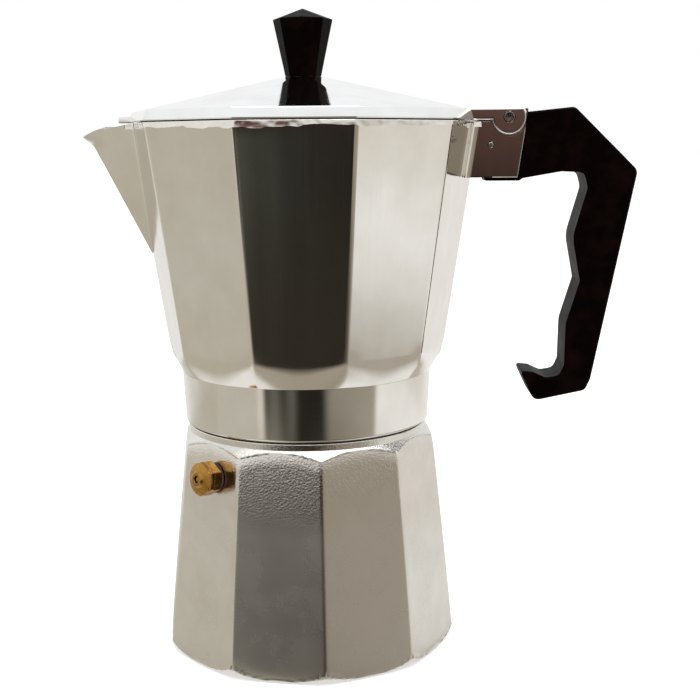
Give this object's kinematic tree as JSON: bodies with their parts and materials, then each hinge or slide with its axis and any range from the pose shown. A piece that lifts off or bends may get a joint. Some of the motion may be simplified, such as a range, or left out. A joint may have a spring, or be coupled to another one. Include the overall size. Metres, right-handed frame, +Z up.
{
  "type": "moka pot",
  "caption": "Stovetop coffee maker with a faceted boiler, a screwed-on jug with spout and side handle, a hinged lid with knob, and a safety valve.",
  "frame": {"origin": "centre of the boiler's flat base, where the pot rests", "axes": "+Z up along the pot's axis, +X towards the handle, -X towards the spout, right-handed"},
  "size_m": [0.2155, 0.131, 0.25],
  "materials": {
    "boiler_casting": "satin, turned and ground",
    "jug_casting": "polished, fine vertical brushing",
    "lid_casting": "polished",
    "spun_aluminium": "satin, spun",
    "brass": "machined",
    "steel": "bright",
    "phenolic": "moulded, semi-gloss",
    "rubber": "matt",
    "fibre": "matt"
  },
  "bodies": {
    "boiler": {"boiler": "boiler_casting", "valve_washer": "fibre", "valve_body": "brass", "valve_cap": "brass", "valve_spring": "steel"},
    "valve_stem": {"valve_poppet": "brass"},
    "funnel": {"funnel_basket": "spun_aluminium", "funnel_tube": "spun_aluminium", "funnel_screen": "spun_aluminium"},
    "filter": {"filter_plate": "spun_aluminium"},
    "seal": {"gasket": "rubber"},
    "upper_pot": {"jug": "jug_casting", "chimney": "jug_casting", "handle": "phenolic", "handle_pin": "steel", "hinge_pin": "steel"},
    "lid": {"lid": "lid_casting", "knob": "phenolic", "knob_insert": "brass", "knob_washer": "steel", "knob_screw": "steel"}
  },
  "joints": [
    {"name": "top_lift_off", "type": "slide", "parent": "boiler", "child": "filter", "axis": [0, 0, 1], "range_m": [0, 0.2]},
    {"name": "unscrew_rise", "type": "slide", "parent": "filter", "child": "seal", "axis": [0, 0, 1], "range_m": [0, 0.0045]},
    {"name": "unscrew_turn", "type": "hinge", "parent": "seal", "child": "upper_pot", "pos_m": [0, 0, 0.1015], "axis": [0, 0, 1], "range_deg": [0, 540]},
    {"name": "lid_open", "type": "hinge", "parent": "upper_pot", "child": "lid", "pos_m": [0.07908, 0, 0.20835], "axis": [0, 1, 0], "range_deg": [0, 105]},
    {"name": "funnel_lift", "type": "slide", "parent": "boiler", "child": "funnel", "axis": [0, 0, 1], "range_m": [0, 0.1]},
    {"name": "valve_lift", "type": "slide", "parent": "boiler", "child": "valve_stem", "axis": [-0.7084, -0.6983, 0.1025], "range_m": [0, 0.0015], "stiffness_N_per_m": 800, "springref_m": -0.001, "deforming": ["valve_spring"]}
  ],
  "couplings": [
    {"joint": "unscrew_rise", "follows": "unscrew_turn", "m_per_rad": 0.00047746},
    {"joint": "funnel_lift", "follows": "top_lift_off", "ratio": 0.5}
  ]
}
